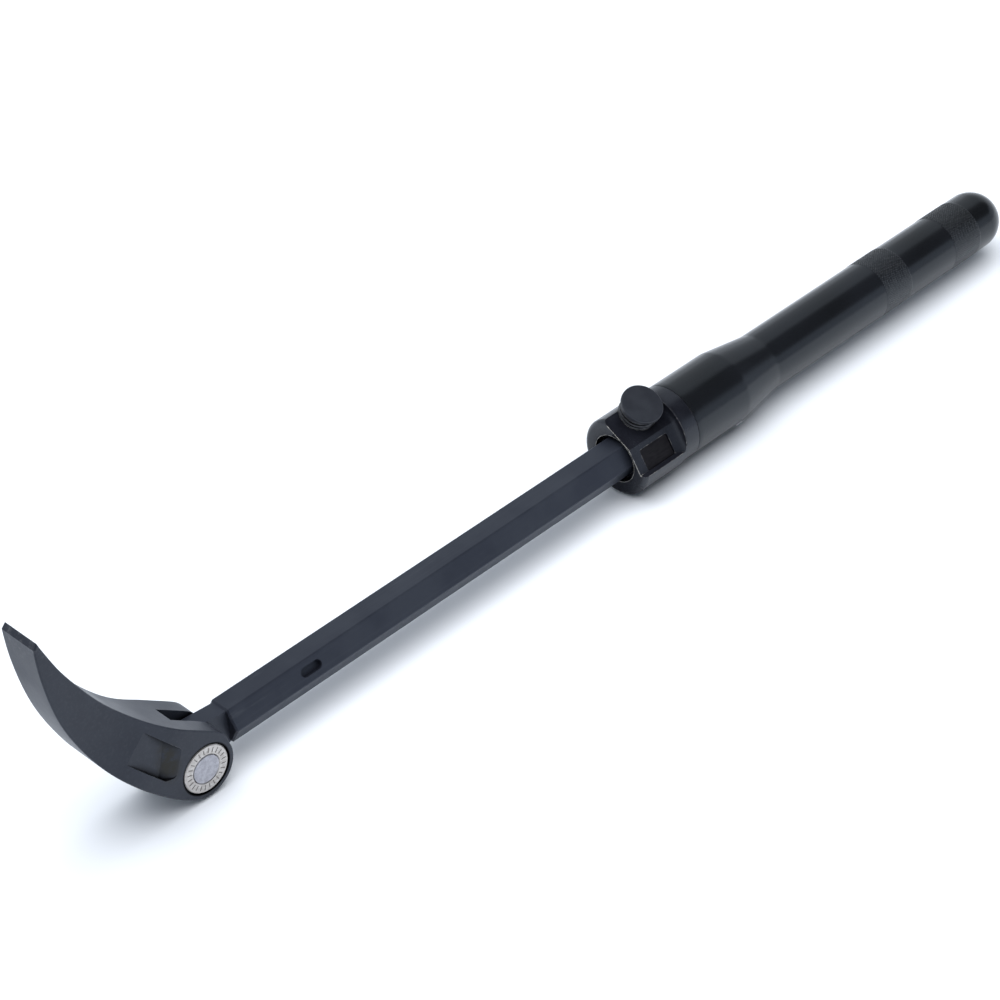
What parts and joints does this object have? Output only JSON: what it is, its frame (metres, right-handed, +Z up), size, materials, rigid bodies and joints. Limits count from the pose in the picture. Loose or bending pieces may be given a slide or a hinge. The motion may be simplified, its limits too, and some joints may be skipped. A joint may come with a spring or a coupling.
{
  "type": "extendable indexing pry bar",
  "caption": "Extendable pry bar: hooked claw on a toothed hinge with a side release button, and a hexagonal bar that slides in a tubular steel handle with a push-button lock.",
  "frame": {"origin": "under the middle of the object's bounding box, on the surface that it lies on (the lock collar is its lowest point)", "axes": "+X along the bar from the claw end to the closed handle end, +Z up, the side that the claw curls to, -Y the side with the index button"},
  "size_m": [0.5398, 0.035, 0.1084],
  "materials": {
    "head_steel": "satin blue-black oxide on forged steel",
    "bar_steel": "satin blue-black oxide on drawn hexagonal steel",
    "bright_steel": "machined bright steel, lightly brushed",
    "button_steel": "machined steel, satin",
    "collar_steel": "semi-gloss black with worn bright edges",
    "cap_steel": "satin black oxide",
    "handle_enamel": "gloss black enamel over steel tube, with cross-knurled bands",
    "hardware_steel": "machined steel, oiled",
    "spring_steel": "dark tempered spring steel",
    "bronze": "bearing bronze",
    "rubber": "moulded rubber"
  },
  "bodies": {
    "handle": {"handle_tube": "handle_enamel", "lock_collar": "collar_steel", "collar_dowels": "hardware_steel", "end_bumper": "rubber", "spring_washer": "spring_steel", "detent_leaf": "spring_steel", "lock_spring": "spring_steel"},
    "lock_plunger": {"lock_button": "cap_steel", "lock_pin": "hardware_steel", "lock_pin_clip": "spring_steel"},
    "bar": {"shank_bar": "bar_steel", "stop_ring": "hardware_steel", "stop_screw": "hardware_steel", "thrust_washers": "bronze"},
    "claw": {"claw_head": "head_steel", "pivot_ring": "bright_steel", "pivot_stud": "hardware_steel", "index_spring": "spring_steel"},
    "index_plunger": {"lock_gear": "hardware_steel", "index_button": "button_steel"}
  },
  "joints": [
    {"name": "bar_slide", "type": "slide", "parent": "handle", "child": "bar", "axis": [1, 0, 0], "range_m": [0, 0.186]},
    {"name": "claw_index", "type": "hinge", "parent": "bar", "child": "claw", "pos_m": [-0.213, 0, 0.0143], "axis": [0, 1, 0], "range_deg": [-135, 45]},
    {"name": "index_press", "type": "slide", "parent": "bar", "child": "index_plunger", "axis": [0, 1, 0], "range_m": [0, 0.006], "stiffness_N_per_m": 800, "springref_m": -0.005, "deforming": ["index_spring"]},
    {"name": "lock_press", "type": "slide", "parent": "handle", "child": "lock_plunger", "axis": [0, 0.5, -0.866], "range_m": [0, 0.0035], "stiffness_N_per_m": 900, "springref_m": -0.005, "deforming": ["lock_spring"]}
  ]
}
